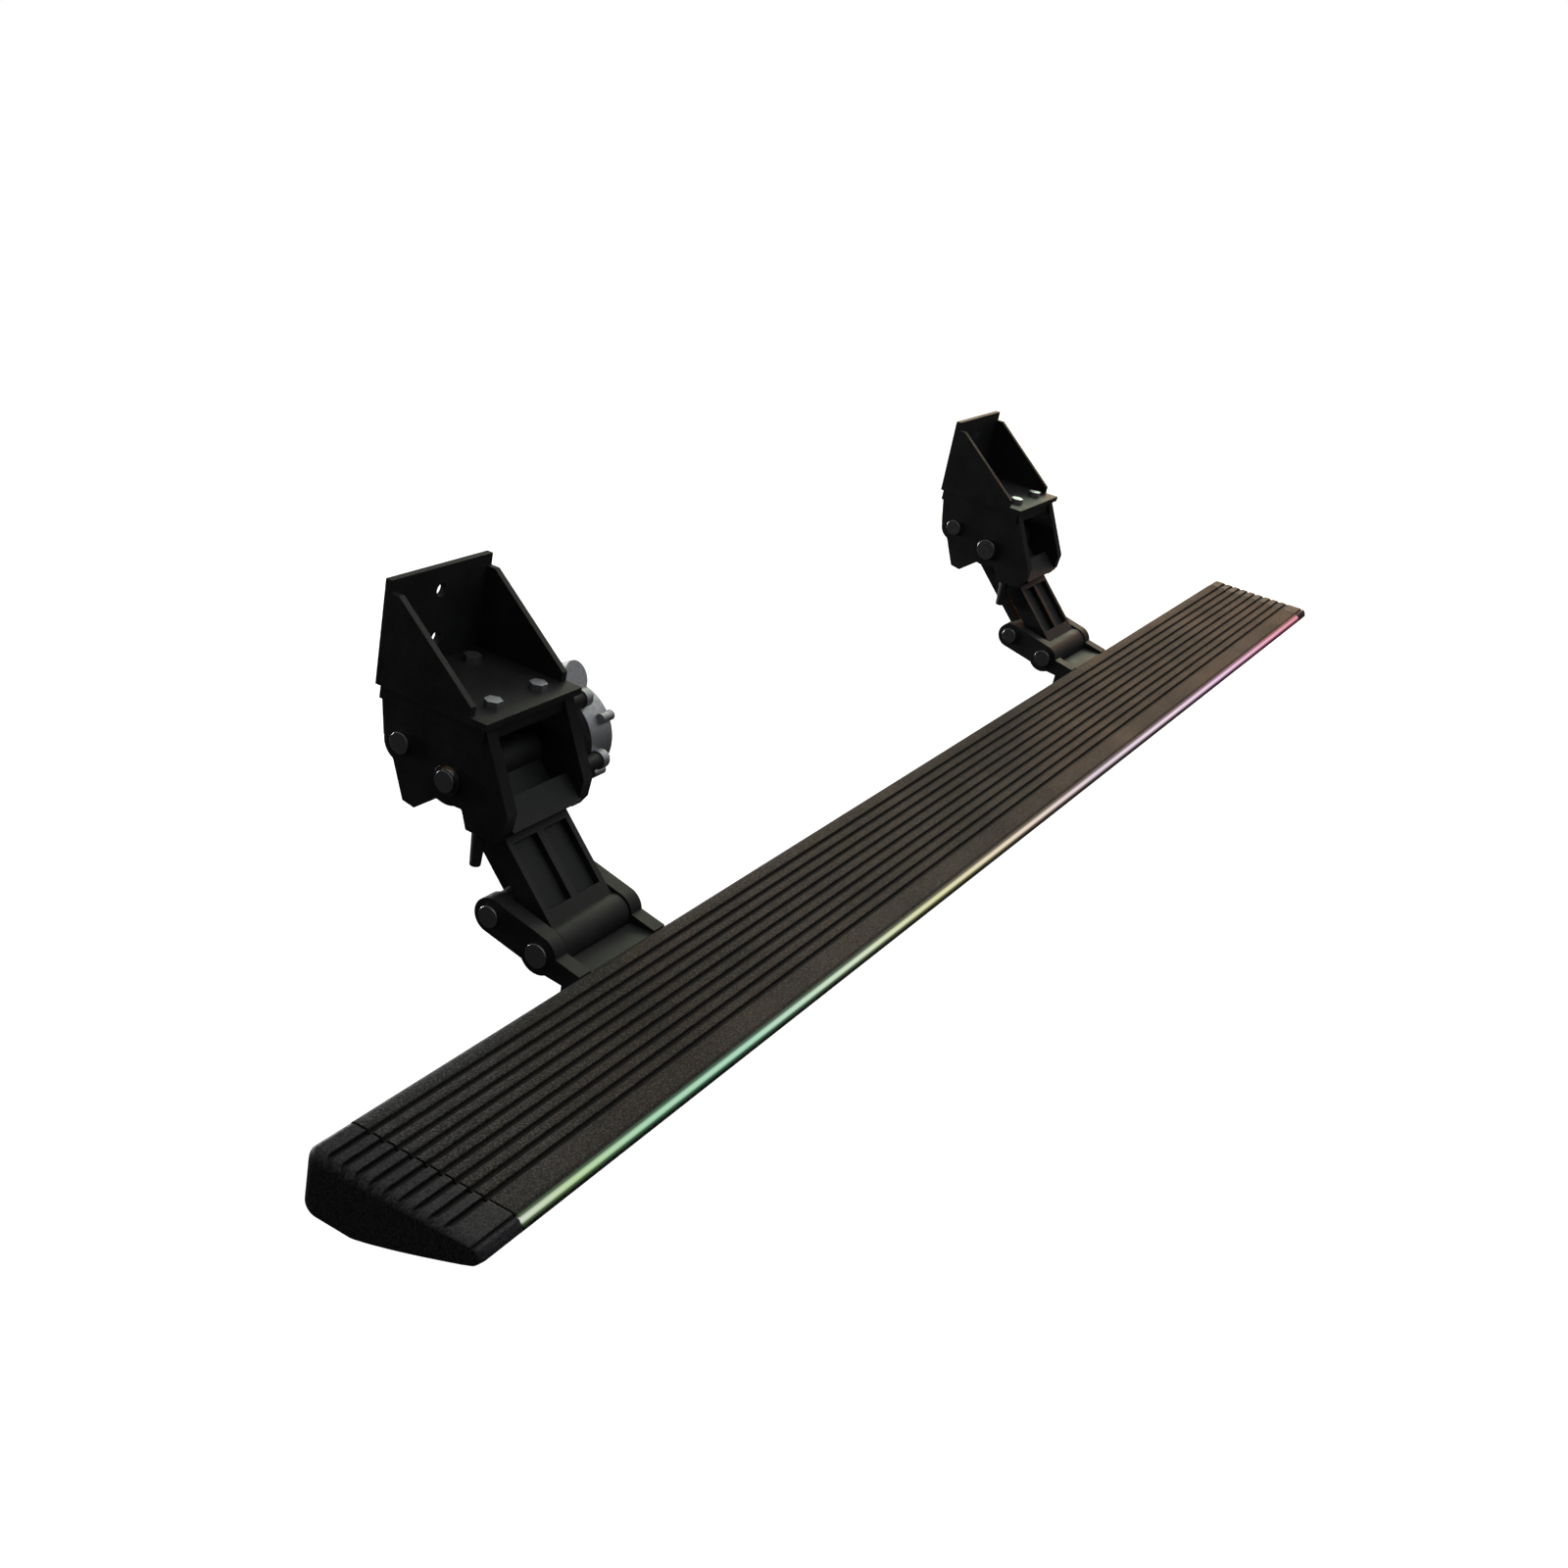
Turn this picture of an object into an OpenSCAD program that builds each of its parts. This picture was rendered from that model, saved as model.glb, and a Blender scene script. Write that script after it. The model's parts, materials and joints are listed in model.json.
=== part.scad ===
// Power running board: a grooved step on two parallel-link swing brackets, one of them
// driven by a worm gear motor. It is drawn in its lowered position.
// X runs along the board, -Y is outboard and +Z is up. The origin is the centre of the
// four vehicle bolts, in the plane of the hangers' mounting faces.

/* [Step board] */
// Overall length with both end caps
board_len = 1900; // [1500:10:2200]
// Distance of the board's middle from the midpoint of the brackets
board_shift = 90; // [0:5:120]
// Width of the flat tread, from the rear face to the light groove
tread_w = 132; // [132:1:140]
// Thickness at the rear face
board_t = 51; // [48:1:54]
// Spacing of the tread grooves
rib_pitch = 11.8; // [10:0.2:12.6]
// Number of tread grooves
groove_count = 9; // [7:1:9]
// Width of one tread groove
groove_w = 4.2; // [3:0.2:4.4]
// Depth of one tread groove
groove_d = 2.6; // [1.6:0.2:2.6]
// Length of one end cap outside the extrusion
cap_len = 42; // [36:1:50]

/* [Linkage] */
// Distance between the two brackets
bracket_gap = 1020; // [900:10:1100]
// Length of both swing arms between their pivots
arm_len = 150; // [140:1:155]
// Angle of the lowered arms below the outboard horizontal
lowered_angle = 45; // [42:1:50]
// Distance between the arm pivot and the link pivot
link_gap = 50; // [48:1:54]
// Angle of the line between those two pivots
link_angle = 15; // [12:1:18]
// Inside width between the cheeks of one bracket
clevis_w = 86; // [80:1:90]
// Thickness of one cheek
cheek_t = 12; // [10:1:14]

/* [Drive] */
// Gear module of the worm pair
gear_m = 1.5; // [1.5:0.1:1.6]
// Teeth of the worm wheel
wheel_teeth = 46; // [44:2:48]
// Pitch diameter of the worm
worm_d = 14; // [13:0.5:15]
// Radius of the motor can
can_r = 29; // [28:0.5:30]
// Length of the motor can
can_len = 86; // [80:1:90]

/* [Lights] */
// Distance between light-emitting diodes
led_pitch = 30; // [20:5:60]

/* [Hidden] */
$fn = 48;

// Bracket stations along X
left_x = -bracket_gap / 2;
right_x = bracket_gap / 2;
cheek_in = clevis_w / 2;
cheek_out = cheek_in + cheek_t;

// Pivots in the Y-Z plane: A and B are on the vehicle side, C and D on the step
function polar(r, a) = [r * cos(a), r * sin(a)];
pivot_a = [-75, -100];
pivot_b = pivot_a + polar(link_gap, link_angle);
arm_angle = 180 + lowered_angle;
pivot_c = pivot_a + polar(arm_len, arm_angle);
pivot_d = pivot_b + polar(arm_len, arm_angle);

// Radii of the pins, bushes and hubs
shaft_r = 9;
shaft_bush_r = 11;
pin_c_r = 7;
bush_c_r = 9;
pin_link_r = 6;
bush_link_r = 8;
run_gap = 0.08;
fit_gap = 0.03;
hub_a_r = 17;
hub_c_r = 16;
hub_link_r = 13;
arm_half_t = 9;
link_half_t = 6;
hub_half = cheek_in - 1;
washer_t = 0.6;

// Board section, measured from its rear face and top plane
board_gap = 40;
rear_y = pivot_c[0] - board_gap;
top_z = pivot_c[1];
board_x0 = board_shift - board_len / 2;
board_x1 = board_shift + board_len / 2;
extrusion_x0 = board_x0 + cap_len;
extrusion_x1 = board_x1 - cap_len;
extrusion_len = extrusion_x1 - extrusion_x0;
rear_top_r = 5;
rear_low_r = 7;
flat_w = 40;
nose_tip = tread_w + 10;
nose_low = 15;
skin = 5.6;
wall = 3.2;
first_groove = 17;

// Light channel in the nose, on a face tilted 45 degrees
light_tilt = 45;
light_w = 8;
light_depth = 5;
light_mid = [-tread_w - 6, -3.2];

// T-slots for the foot bolts
slot_mouth = 9;
slot_w = 17;
slot_deep = 11;
slot_lip = 3;
slot_low_y = -30;
slot_rear_z = -26;

// Foot
foot_half = cheek_out + 3.5;
ear_in = cheek_in + 0.5;
foot_t = 9;
foot_reach = 46;
foot_web = 23.5;
foot_top = -4;
ear_top = -1.5;
ear_low = -17;
foot_bolt_x = 28;

// Hanger and base
plate_t = 6;
hanger_half = 60;
hanger_low = -46;
hanger_high = 40;
hanger_reach = 108;
mount_hole_r = 5.5;
mount_hole_z = 20;
base_plate_t = 12;
base_bolt_x = 28;
base_bolt_y = [-22, -88];

// Worm pair: the wheel turns about A, and the worm's axis runs down and inboard
drive_x = 91;
wheel_face = 8;
wheel_pitch_r = gear_m * wheel_teeth / 2;
worm_pitch_r = worm_d / 2;
worm_dist = wheel_pitch_r + worm_pitch_r;
worm_side = 60;
worm_point = pivot_a + polar(worm_dist, worm_side);
worm_lead = PI * gear_m;
tooth_add = 1.35;
tooth_ded = 1.8;
flank = tan(20);
wheel_tooth = 2.1;
worm_tooth = 1.9;

// Gearbox
box_x0 = 76;
box_x1 = 102;
box_r = 41;
box_wall = 4;
cover_t = 3;
box_bolt_r = 47;
box_bolt_angles = [118, 185, 318];
cover_screw_r = 43;
cover_screw_angles = [145, 215, 270, 336];
tunnel_r = 14;
tunnel_bore = 9.4;
flange_t0 = 38;
can_t0 = 43;
socket_t = 55;

// ---------------------------------------------------------------- helpers

function arc(centre, r, a0, a1, n) =
    [for (i = [0:n]) centre + polar(r, a0 + (a1 - a0) * i / n)];

// Extrudes a Y-Z outline along X from x0 to x1
module along_x(x0, x1)
    translate([x0, 0, 0])
        rotate([90, 0, 90])
            linear_extrude(x1 - x0) children();

// A round bar along X at a Y-Z point
module bar_x(p, r, x0, x1)
    translate([x0, p[0], p[1]])
        rotate([0, 90, 0])
            cylinder(h = x1 - x0, r = r);

// A ring along X
module ring_x(p, r_out, r_in, x0, x1)
    difference() {
        bar_x(p, r_out, x0, x1);
        bar_x(p, r_in, x0 - 1, x1 + 1);
    }

// Puts children at pivot p, turned so that their Y runs along a swing arm
module on_arm(p)
    translate([0, p[0], p[1]])
        rotate([arm_angle, 0, 0]) children();

// A rectangular block from two corners
module block(a, b)
    translate(a) cube(b - a);

// Hexagonal bolt along +Z, its head under z = 0 and its nut at nut_z
module bolt_z(r, length, head_r, head_h) {
    translate([0, 0, -head_h]) cylinder(h = head_h, r = head_r, $fn = 6);
    translate([0, 0, -0.5]) cylinder(h = length + 0.5, r = r);
}

module nut_z(r, nut_r, nut_h)
    difference() {
        union() {
            cylinder(h = nut_h, r = nut_r, $fn = 6);
            cylinder(h = 1.4, r = nut_r + 1.2);
        }
        translate([0, 0, -1]) cylinder(h = nut_h + 2, r = r + fit_gap);
    }

// A flanged bush along +X from x0, its flange at x0
module flanged_bush(p, r_out, r_in, x0, length, flange_side)
    difference() {
        union() {
            bar_x(p, r_out - fit_gap, x0, x0 + length);
            bar_x(p, r_out + 3,
                  flange_side > 0 ? x0 + length : x0 - washer_t,
                  flange_side > 0 ? x0 + length + washer_t : x0);
        }
        bar_x(p, r_in + run_gap, x0 - 5, x0 + length + 5);
    }

// Retaining ring in a groove of a bar of radius r
module clip_x(p, r, x0)
    difference() {
        bar_x(p, r + 3.5, x0, x0 + 1.2);
        bar_x(p, r - 1 + fit_gap, x0 - 1, x0 + 3);
        translate([x0 - 1, p[0] - r + 2.5, p[1]]) cube([4, 2 * r - 5, 2 * r]);
    }

// Headed pin from -half to half, grooved for a clip past +half
module headed_pin(p, r, half)
    difference() {
        union() {
            bar_x(p, r, -half, half + 4);
            bar_x(p, r + 3, -half - 3, -half);
        }
        ring_x(p, r + 5, r - 1, half + 0.4, half + 1.8);
    }

// ------------------------------------------------------------- step board

low_end = nose_tip - 5;

function low_curve(u) =
    -board_t + (board_t - nose_low) * pow((u - flat_w) / (low_end - flat_w), 1.2);

function light_point(along, out) =
    light_mid + polar(along, 180 + light_tilt) + polar(out, 90 + light_tilt);

function section_outline() = concat(
    arc([-rear_top_r, -rear_top_r], rear_top_r, 0, 90, 6),
    [[-tread_w, 0], [-tread_w - 1.4, -0.8]],
    [light_point(-light_w / 2 - 0.4, 0), light_point(light_w / 2 + 0.6, 0)],
    arc([-nose_tip + 3.4, -8.6], 3.4, 165, 240, 5),
    [for (i = [0:12]) let (u = low_end - (low_end - flat_w) * i / 12) [-u, low_curve(u)]],
    arc([-rear_low_r, -board_t + rear_low_r], rear_low_r, -90, 0, 6)
);

// Centre of tread groove i, from the rear face
function groove_y(i) = -first_groove - rib_pitch * i;

module tread_grooves()
    for (i = [0:groove_count - 1])
        translate([groove_y(i) - groove_w / 2, -groove_d]) square([groove_w, groove_d + 1]);

module t_slots() {
    translate([slot_low_y - slot_mouth / 2, -board_t - 1]) square([slot_mouth, slot_deep]);
    translate([slot_low_y - slot_w / 2, -board_t + slot_lip]) square([slot_w, slot_deep - slot_lip]);
    translate([-slot_deep + 1, slot_rear_z - slot_mouth / 2]) square([slot_deep, slot_mouth]);
    translate([-slot_deep, slot_rear_z - slot_w / 2]) square([slot_deep - slot_lip, slot_w]);
}

module light_channel()
    translate(light_mid)
        rotate(light_tilt - 180)
            translate([-light_w / 2, -2]) square([light_w, light_depth + 2]);

// Hollow between two distances u0 and u1 from the rear face, shrunk by gap on every side
function hollow(u0, u1, gap) = concat(
    [[-u1 + gap, -skin - gap], [-u0 - gap, -skin - gap]],
    [for (i = [0:4]) let (u = u0 + gap + (u1 - u0 - 2 * gap) * i / 4) [-u, low_curve(u) + wall + gap]]
);
plug_hollow = [50, 92];

module chambers() {
    translate([-46, -board_t + 14]) square([29, board_t - 14 - skin]);
    polygon(hollow(plug_hollow[0], plug_hollow[1], 0));
    polygon(hollow(96, 127, 0));
}

module board_section()
    difference() {
        polygon(section_outline());
        tread_grooves();
        t_slots();
        light_channel();
        chambers();
    }

module at_board()
    translate([0, rear_y, top_z]) children();

cap_screw_y = -60;
cap_screw_in = [12, 32];
cap_screw_z = low_curve(-cap_screw_y);

module cap_screw_places()
    at_board()
        for (d = cap_screw_in, x = [extrusion_x0 + d, extrusion_x1 - d])
            translate([x, cap_screw_y, cap_screw_z]) children();

module step_board()
    color([0.06, 0.06, 0.065])
        difference() {
            at_board() along_x(extrusion_x0, extrusion_x1) board_section();
            cap_screw_places() {
                translate([0, 0, -6]) cylinder(h = 7.4, r = 4);
                cylinder(h = 8, r = 2.2);
            }
        }

module end_cap_screws()
    color([0.5, 0.5, 0.52])
        cap_screw_places() {
            translate([0, 0, -1]) cylinder(h = 2.4, r = 3.6);
            cylinder(h = 13, r = 2);
        }

// Cap of the left end, seen from its joint with the extrusion: it runs towards -X
cap_straight = 32;
plug_len = 42;

module cap_outline(inset)
    offset(r = -inset) polygon(section_outline());

module cap_shell()
    hull() {
        along_x(-cap_straight, 0) polygon(section_outline());
        for (s = [[0.55, 1.3], [0.86, 3.6], [1, 6.6]])
            translate([-cap_straight - s[0] * (cap_len - cap_straight), 0, 0])
                along_x(0, 0.4) cap_outline(s[1]);
    }

module cap_plug()
    along_x(-2, plug_len) polygon(hollow(plug_hollow[0], plug_hollow[1], 0.4));

module end_cap(side)
    color([0.05, 0.05, 0.055])
        difference() {
            at_board()
                translate([side < 0 ? extrusion_x0 : extrusion_x1, 0, 0])
                    mirror([side < 0 ? 0 : 1, 0, 0])
                        union() {
                            difference() {
                                cap_shell();
                                along_x(-cap_len - 1, 1) tread_grooves();
                            }
                            cap_plug();
                        }
            cap_screw_places() cylinder(h = 14, r = 2 + fit_gap);
        }

// ----------------------------------------------------------------- lights

// Y-Z outline in the light channel: x along the face, y into the board
module in_channel()
    translate(light_mid) rotate(light_tilt - 180) children();

lens_half = light_w / 2 - 0.08;

module light_lens()
    color([0.75, 0.95, 0.85, 0.6])
        at_board()
            along_x(extrusion_x0, extrusion_x1)
                in_channel()
                    polygon(concat(
                        [[-lens_half, 2]],
                        [for (i = [0:8]) [lens_half * (i / 4 - 1), -1.1 * sin(22.5 * i)]],
                        [[lens_half, 2]]));

module light_circuit()
    color([0.85, 0.85, 0.8])
        at_board()
            along_x(extrusion_x0 + 4, extrusion_x1 - 4)
                in_channel()
                    translate([-3.5, 4.2]) square([7, 0.7]);

led_count = floor((extrusion_len - 40) / led_pitch) + 1;
led_first = (extrusion_x0 + extrusion_x1) / 2 - led_pitch * (led_count - 1) / 2;

module light_diodes()
    color([0.95, 0.95, 0.9])
        at_board()
            for (i = [0:led_count - 1])
                along_x(led_first + led_pitch * i - 2.5, led_first + led_pitch * i + 2.5)
                    in_channel()
                        translate([-2.5, 2.7]) square([5, 1.5]);

// Cable gland of the light strip, in the board's rear face beside the left foot
gland_x = left_x + 90;
gland_z = -39.4;

module light_cable_gland()
    color([0.04, 0.04, 0.04])
        at_board()
            translate([gland_x, 0, gland_z])
                rotate([-90, 0, 0])
                    difference() {
                        union() {
                            cylinder(h = 3, r = 4.5);
                            cylinder(h = 10, r = 3.2);
                        }
                        translate([0, 0, 1.5]) cylinder(h = 14, r = 1.8);
                    }

// ------------------------------------------------------------------- foot

foot_low = -board_t - foot_t;

module ear_outline()
    union() {
        translate(pivot_c) circle(r = 17);
        translate(pivot_d) circle(r = 15);
        translate(pivot_c)
            polygon([[-board_gap, ear_low], [-board_gap, ear_top], [-15, ear_top + 5], [-4, 16.5],
                     [44, 27.3], [62.6, 8], [52, -1.6], [14, -9.6], [-9, -14.4]]);
    }

// The web between the ears is hollow behind its top, where the rear T-bolts' nuts are reached
module foot_body() {
    for (s = [-1, 1])
        along_x(s < 0 ? -foot_half : ear_in, s < 0 ? -ear_in : foot_half) ear_outline();
    translate([0, pivot_c[0] - board_gap, pivot_c[1]]) {
        difference() {
            block([-ear_in - 1, 0, foot_low], [ear_in + 1, foot_web, foot_top]);
            block([-ear_in, foot_t, foot_low + 12], [ear_in, foot_web + 1, foot_top - 7]);
        }
        block([-foot_half, -foot_reach, foot_low], [foot_half, foot_t, -board_t]);
        for (s = [-1, 0, 1])
            translate([s * (foot_half - 4) - 4, 4 - foot_reach, foot_low - 5])
                cube([8, foot_reach + 4, 5.5]);
    }
}

module foot(x)
    color([0.04, 0.04, 0.045])
        translate([x, 0, 0])
            difference() {
                foot_body();
                bar_x(pivot_c, pin_c_r + fit_gap, -80, 80);
                bar_x(pivot_d, pin_link_r + fit_gap, -80, 80);
                foot_bolt_places() translate([0, 0, -20]) cylinder(h = 40, r = 4.3);
            }

// Each of the four T-bolts of a foot, with +Z out of the board
module foot_bolt_places()
    translate([0, rear_y, top_z])
        for (s = [-1, 1]) {
            translate([s * foot_bolt_x, slot_low_y, -board_t]) rotate([180, 0, 0]) children();
            translate([s * foot_bolt_x, 0, slot_rear_z]) rotate([-90, 0, 0]) children();
        }

module foot_bolts(x)
    color([0.6, 0.6, 0.62])
        translate([x, 0, 0])
            foot_bolt_places() {
                translate([-8, -8, -9]) cube([16, 16, 5.8]);
                translate([0, 0, -4]) cylinder(h = 22, r = 4);
                translate([0, 0, foot_t]) nut_z(4, 7.5, 6.5);
            }

module foot_pins(x)
    color([0.55, 0.55, 0.57])
        translate([x, 0, 0]) {
            headed_pin(pivot_c, pin_c_r, foot_half);
            headed_pin(pivot_d, pin_link_r, foot_half);
        }

module foot_clips(x)
    color([0.3, 0.3, 0.32])
        translate([x, 0, 0]) {
            clip_x(pivot_c, pin_c_r, foot_half + 0.5);
            clip_x(pivot_d, pin_link_r, foot_half + 0.5);
        }

// --------------------------------------------------------- hanger and base

module hanger(x)
    color([0.05, 0.05, 0.055])
        translate([x, 0, 0])
            difference() {
                union() {
                    block([-hanger_half, -plate_t, hanger_low], [hanger_half, 0, hanger_high]);
                    block([-hanger_half, -hanger_reach, hanger_low],
                          [hanger_half, 0, hanger_low + plate_t]);
                    for (x0 = [-hanger_half, hanger_half - plate_t])
                        along_x(x0, x0 + plate_t)
                            polygon([[-plate_t, hanger_low + 1], [-plate_t, 30], [-14, 30],
                                     [-92, -32], [-92, hanger_low + 1]]);
                }
                for (z = [-mount_hole_z, mount_hole_z])
                    translate([0, 1, z]) rotate([90, 0, 0]) cylinder(h = plate_t + 2, r = mount_hole_r);
                for (sx = [-1, 1], y = base_bolt_y)
                    translate([sx * base_bolt_x, y, hanger_low - 1]) cylinder(h = plate_t + 2, r = 4.4);
            }

module hanger_bolts(x)
    color([0.6, 0.6, 0.62])
        translate([x, 0, 0])
            for (sx = [-1, 1], y = base_bolt_y)
                translate([sx * base_bolt_x, y, hanger_low + plate_t])
                    rotate([180, 0, 0]) {
                        bolt_z(4, 27, 7.5, 5.3);
                        translate([0, 0, plate_t + base_plate_t]) nut_z(4, 7.5, 6.5);
                    }

base_top = hanger_low;
bumper_top = -134;
bumper_y = -106;
cheek_outline = [
    [-104, base_top - 1], [-134, -108], [-132.4, -124.8], [-126.6, bumper_top],
    [-97, bumper_top], [-91, -119], [-66, -119.8], [-46, -136], [-34, -134],
    [-21, -104], [-9, -86], [-2, base_top - 1]
];

module base(x, driven)
    color([0.07, 0.07, 0.075])
        translate([x, 0, 0])
            difference() {
                union() {
                    block([-cheek_out - 1, -104, base_top - base_plate_t], [cheek_out + 1, -2, base_top]);
                    for (s = [-1, 1])
                        along_x(s < 0 ? -cheek_out : cheek_in, s < 0 ? -cheek_in : cheek_out) {
                            polygon(cheek_outline);
                            translate(pivot_a) circle(r = 21);
                            translate(pivot_b) circle(r = 17);
                        }
                    on_arm(pivot_a) block([-cheek_in - 1, 34, -24], [cheek_in + 1, 60, -15.4]);
                    if (driven)
                        for (a = box_bolt_angles)
                            bar_x(pivot_a + polar(box_bolt_r, a), 7, cheek_in + 2, box_x0);
                }
                bar_x(pivot_a, shaft_bush_r, -80, 80);
                bar_x(pivot_b, pin_link_r + fit_gap, -80, 80);
                for (sx = [-1, 1], y = base_bolt_y)
                    translate([sx * base_bolt_x, y, base_top - base_plate_t - 1])
                        cylinder(h = base_plate_t + 2, r = 4.4);
                if (driven)
                    for (a = box_bolt_angles)
                        bar_x(pivot_a + polar(box_bolt_r, a), 3 + fit_gap, cheek_in + 8, box_x0 + 1);
            }

module base_bushes(x)
    color([0.7, 0.55, 0.3])
        translate([x, 0, 0]) {
            flanged_bush(pivot_a, shaft_bush_r, shaft_r, cheek_in, cheek_t, -1);
            flanged_bush(pivot_a, shaft_bush_r, shaft_r, -cheek_out, cheek_t, 1);
        }

module link_pin(x)
    color([0.55, 0.55, 0.57])
        translate([x, 0, 0]) headed_pin(pivot_b, pin_link_r, cheek_out);

module link_clip(x)
    color([0.3, 0.3, 0.32])
        translate([x, 0, 0]) clip_x(pivot_b, pin_link_r, cheek_out + 0.5);

// Rubber pad that the lowered arm rests against
module lowered_stop(x)
    color([0.03, 0.03, 0.03])
        translate([x, 0, 0])
            on_arm(pivot_a)
                for (s = [-1, 1])
                    block([s * 22 - 12, 36, -15.4], [s * 22 + 12, 58, -arm_half_t - 0.3]);

// Rubber bumpers that the raised board meets
raised_top_z = pivot_a[1] + arm_len * sin(arm_angle + 110);

module raised_bumpers(x)
    color([0.03, 0.03, 0.03])
        translate([x, 0, 0])
            for (s = [-1, 1])
                translate([s * (cheek_in + cheek_t / 2), bumper_y, raised_top_z + 0.3])
                    cylinder(h = bumper_top - raised_top_z - 0.3, r1 = 4.5, r2 = 6);

// --------------------------------------------------------- arms and links

module arm(x)
    color([0.04, 0.04, 0.045])
        translate([x, 0, 0])
            difference() {
                union() {
                    bar_x(pivot_a, hub_a_r, -hub_half, hub_half);
                    bar_x(pivot_c, hub_c_r, -hub_half, hub_half);
                    on_arm(pivot_a) block([-40, 8, -arm_half_t], [40, arm_len - 8, arm_half_t]);
                }
                bar_x(pivot_a, shaft_r + fit_gap, -80, 80);
                bar_x(pivot_c, bush_c_r, -80, 80);
                on_arm(pivot_a)
                    for (s = [-1, 1], side = [-1, 1])
                        translate([s * 19 - 15, side > 0 ? 26 : 66, side > 0 ? 3 : -arm_half_t - 1])
                            cube([30, side > 0 ? arm_len - 52 : arm_len - 92, arm_half_t - 2]);
            }

module driven_arm()
    difference() {
        arm(left_x);
        shaft_key_blocks(0.05);
    }

module arm_bushes(x)
    color([0.7, 0.55, 0.3])
        translate([x, 0, 0]) {
            flanged_bush(pivot_c, bush_c_r, pin_c_r, hub_half - 16, 16, 1);
            flanged_bush(pivot_c, bush_c_r, pin_c_r, -hub_half, 16, -1);
        }

module link(x)
    color([0.05, 0.05, 0.055])
        translate([x, 0, 0])
            difference() {
                union() {
                    for (p = [pivot_b, pivot_d]) bar_x(p, hub_link_r, -hub_half, hub_half);
                    on_arm(pivot_b) block([-26, 6, -link_half_t], [26, arm_len - 6, link_half_t]);
                }
                for (p = [pivot_b, pivot_d]) bar_x(p, bush_link_r, -80, 80);
                on_arm(pivot_b)
                    for (s = [-1, 1])
                        block([s * 12 - 7, 28, -20], [s * 12 + 7, arm_len - 28, 20]);
            }

module link_bushes(x)
    color([0.7, 0.55, 0.3])
        translate([x, 0, 0])
            for (p = [pivot_b, pivot_d]) {
                flanged_bush(p, bush_link_r, pin_link_r, hub_half - 14, 14, 1);
                flanged_bush(p, bush_link_r, pin_link_r, -hub_half, 14, -1);
            }

module right_arm_pin()
    color([0.55, 0.55, 0.57])
        translate([right_x, 0, 0]) headed_pin(pivot_a, shaft_r, cheek_out + 0.5);

module right_arm_clip()
    color([0.3, 0.3, 0.32])
        translate([right_x, 0, 0]) clip_x(pivot_a, shaft_r, cheek_out + 1);

// ------------------------------------------------------------------ drive

key_w = 5;

module shaft_key_blocks(gap)
    translate([left_x, pivot_a[0], pivot_a[1]])
        for (x = [[-20, 20], [84, 98]])
            block([x[0] - gap, -key_w / 2 - gap, shaft_r - 3 - gap],
                  [x[1] + gap, key_w / 2 + gap, shaft_r + 2.4 + gap]);

module drive_shaft()
    color([0.55, 0.55, 0.57])
        difference() {
            translate([left_x, 0, 0])
                difference() {
                    union() {
                        bar_x(pivot_a, shaft_r, -cheek_out - 5, box_x1 - 1);
                        bar_x(pivot_a, shaft_r + 4, cheek_out + 1, cheek_out + 5);
                    }
                    ring_x(pivot_a, shaft_r + 5, shaft_r - 1, -cheek_out - 2.3, -cheek_out - 0.9);
                }
            shaft_key_blocks(0.03);
        }

module shaft_keys()
    color([0.5, 0.5, 0.52]) shaft_key_blocks(0);

module drive_shaft_clip()
    color([0.3, 0.3, 0.32])
        translate([left_x, 0, 0]) clip_x(pivot_a, shaft_r, -cheek_out - 2.2);

// Worm wheel with a gap between teeth facing the worm
function wheel_points() =
    let (step = 360 / wheel_teeth,
         root = wheel_pitch_r - tooth_ded,
         tip = wheel_pitch_r + tooth_add,
         half_root = (wheel_tooth / 2 + tooth_ded * flank) / root * 180 / PI,
         half_tip = (wheel_tooth / 2 - tooth_add * flank) / tip * 180 / PI,
         tooth = [[root, -half_root], [tip, -half_tip], [tip, half_tip], [root, half_root]])
    [for (k = [0:wheel_teeth - 1], c = tooth) polar(c[0], worm_side + (k + 0.5) * step + c[1])];

module worm_wheel()
    color([0.85, 0.8, 0.65])
        difference() {
            translate([left_x, 0, 0])
                difference() {
                    union() {
                        along_x(drive_x - wheel_face / 2, drive_x + wheel_face / 2)
                            translate(pivot_a) polygon(wheel_points());
                        bar_x(pivot_a, 14, box_x0 + box_wall + 1, box_x1 - 1.5);
                    }
                    bar_x(pivot_a, shaft_r + fit_gap, 60, 120);
                }
            shaft_key_blocks(0.05);
        }

// Frame of the worm: origin at its middle, +Z along the motor, +Y towards the wheel
module on_worm()
    translate([left_x + drive_x, worm_point[0], worm_point[1]])
        rotate([worm_side - 180, 0, 0]) children();

thread_turns = 5;
thread_steps = 18;

module worm_thread() {
    rings = thread_turns * thread_steps;
    root = worm_pitch_r - tooth_ded - 0.2;
    tip = worm_pitch_r + tooth_add;
    half_root = worm_tooth / 2 + (tooth_ded + 0.2) * flank;
    half_tip = worm_tooth / 2 - tooth_add * flank;
    profile = [[root, -half_root], [root, half_root], [tip, half_tip], [tip, -half_tip]];
    points = [for (i = [0:rings], c = profile)
        let (a = 90 + 360 * (i / thread_steps - thread_turns / 2))
            [c[0] * cos(a), c[0] * sin(a), worm_lead * (a - 90) / 360 + c[1]]];
    sides = [for (i = [0:rings - 1], k = [0:3])
        let (n = (k + 1) % 4, p = 4 * i)
            each [[p + k, p + 4 + n, p + n], [p + k, p + 4 + k, p + 4 + n]]];
    last = 4 * rings;
    ends = [[1, 2, 3], [0, 1, 3], [last + 2, last + 1, last], [last + 3, last + 2, last]];
    polyhedron(points, concat(sides, ends));
}

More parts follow.
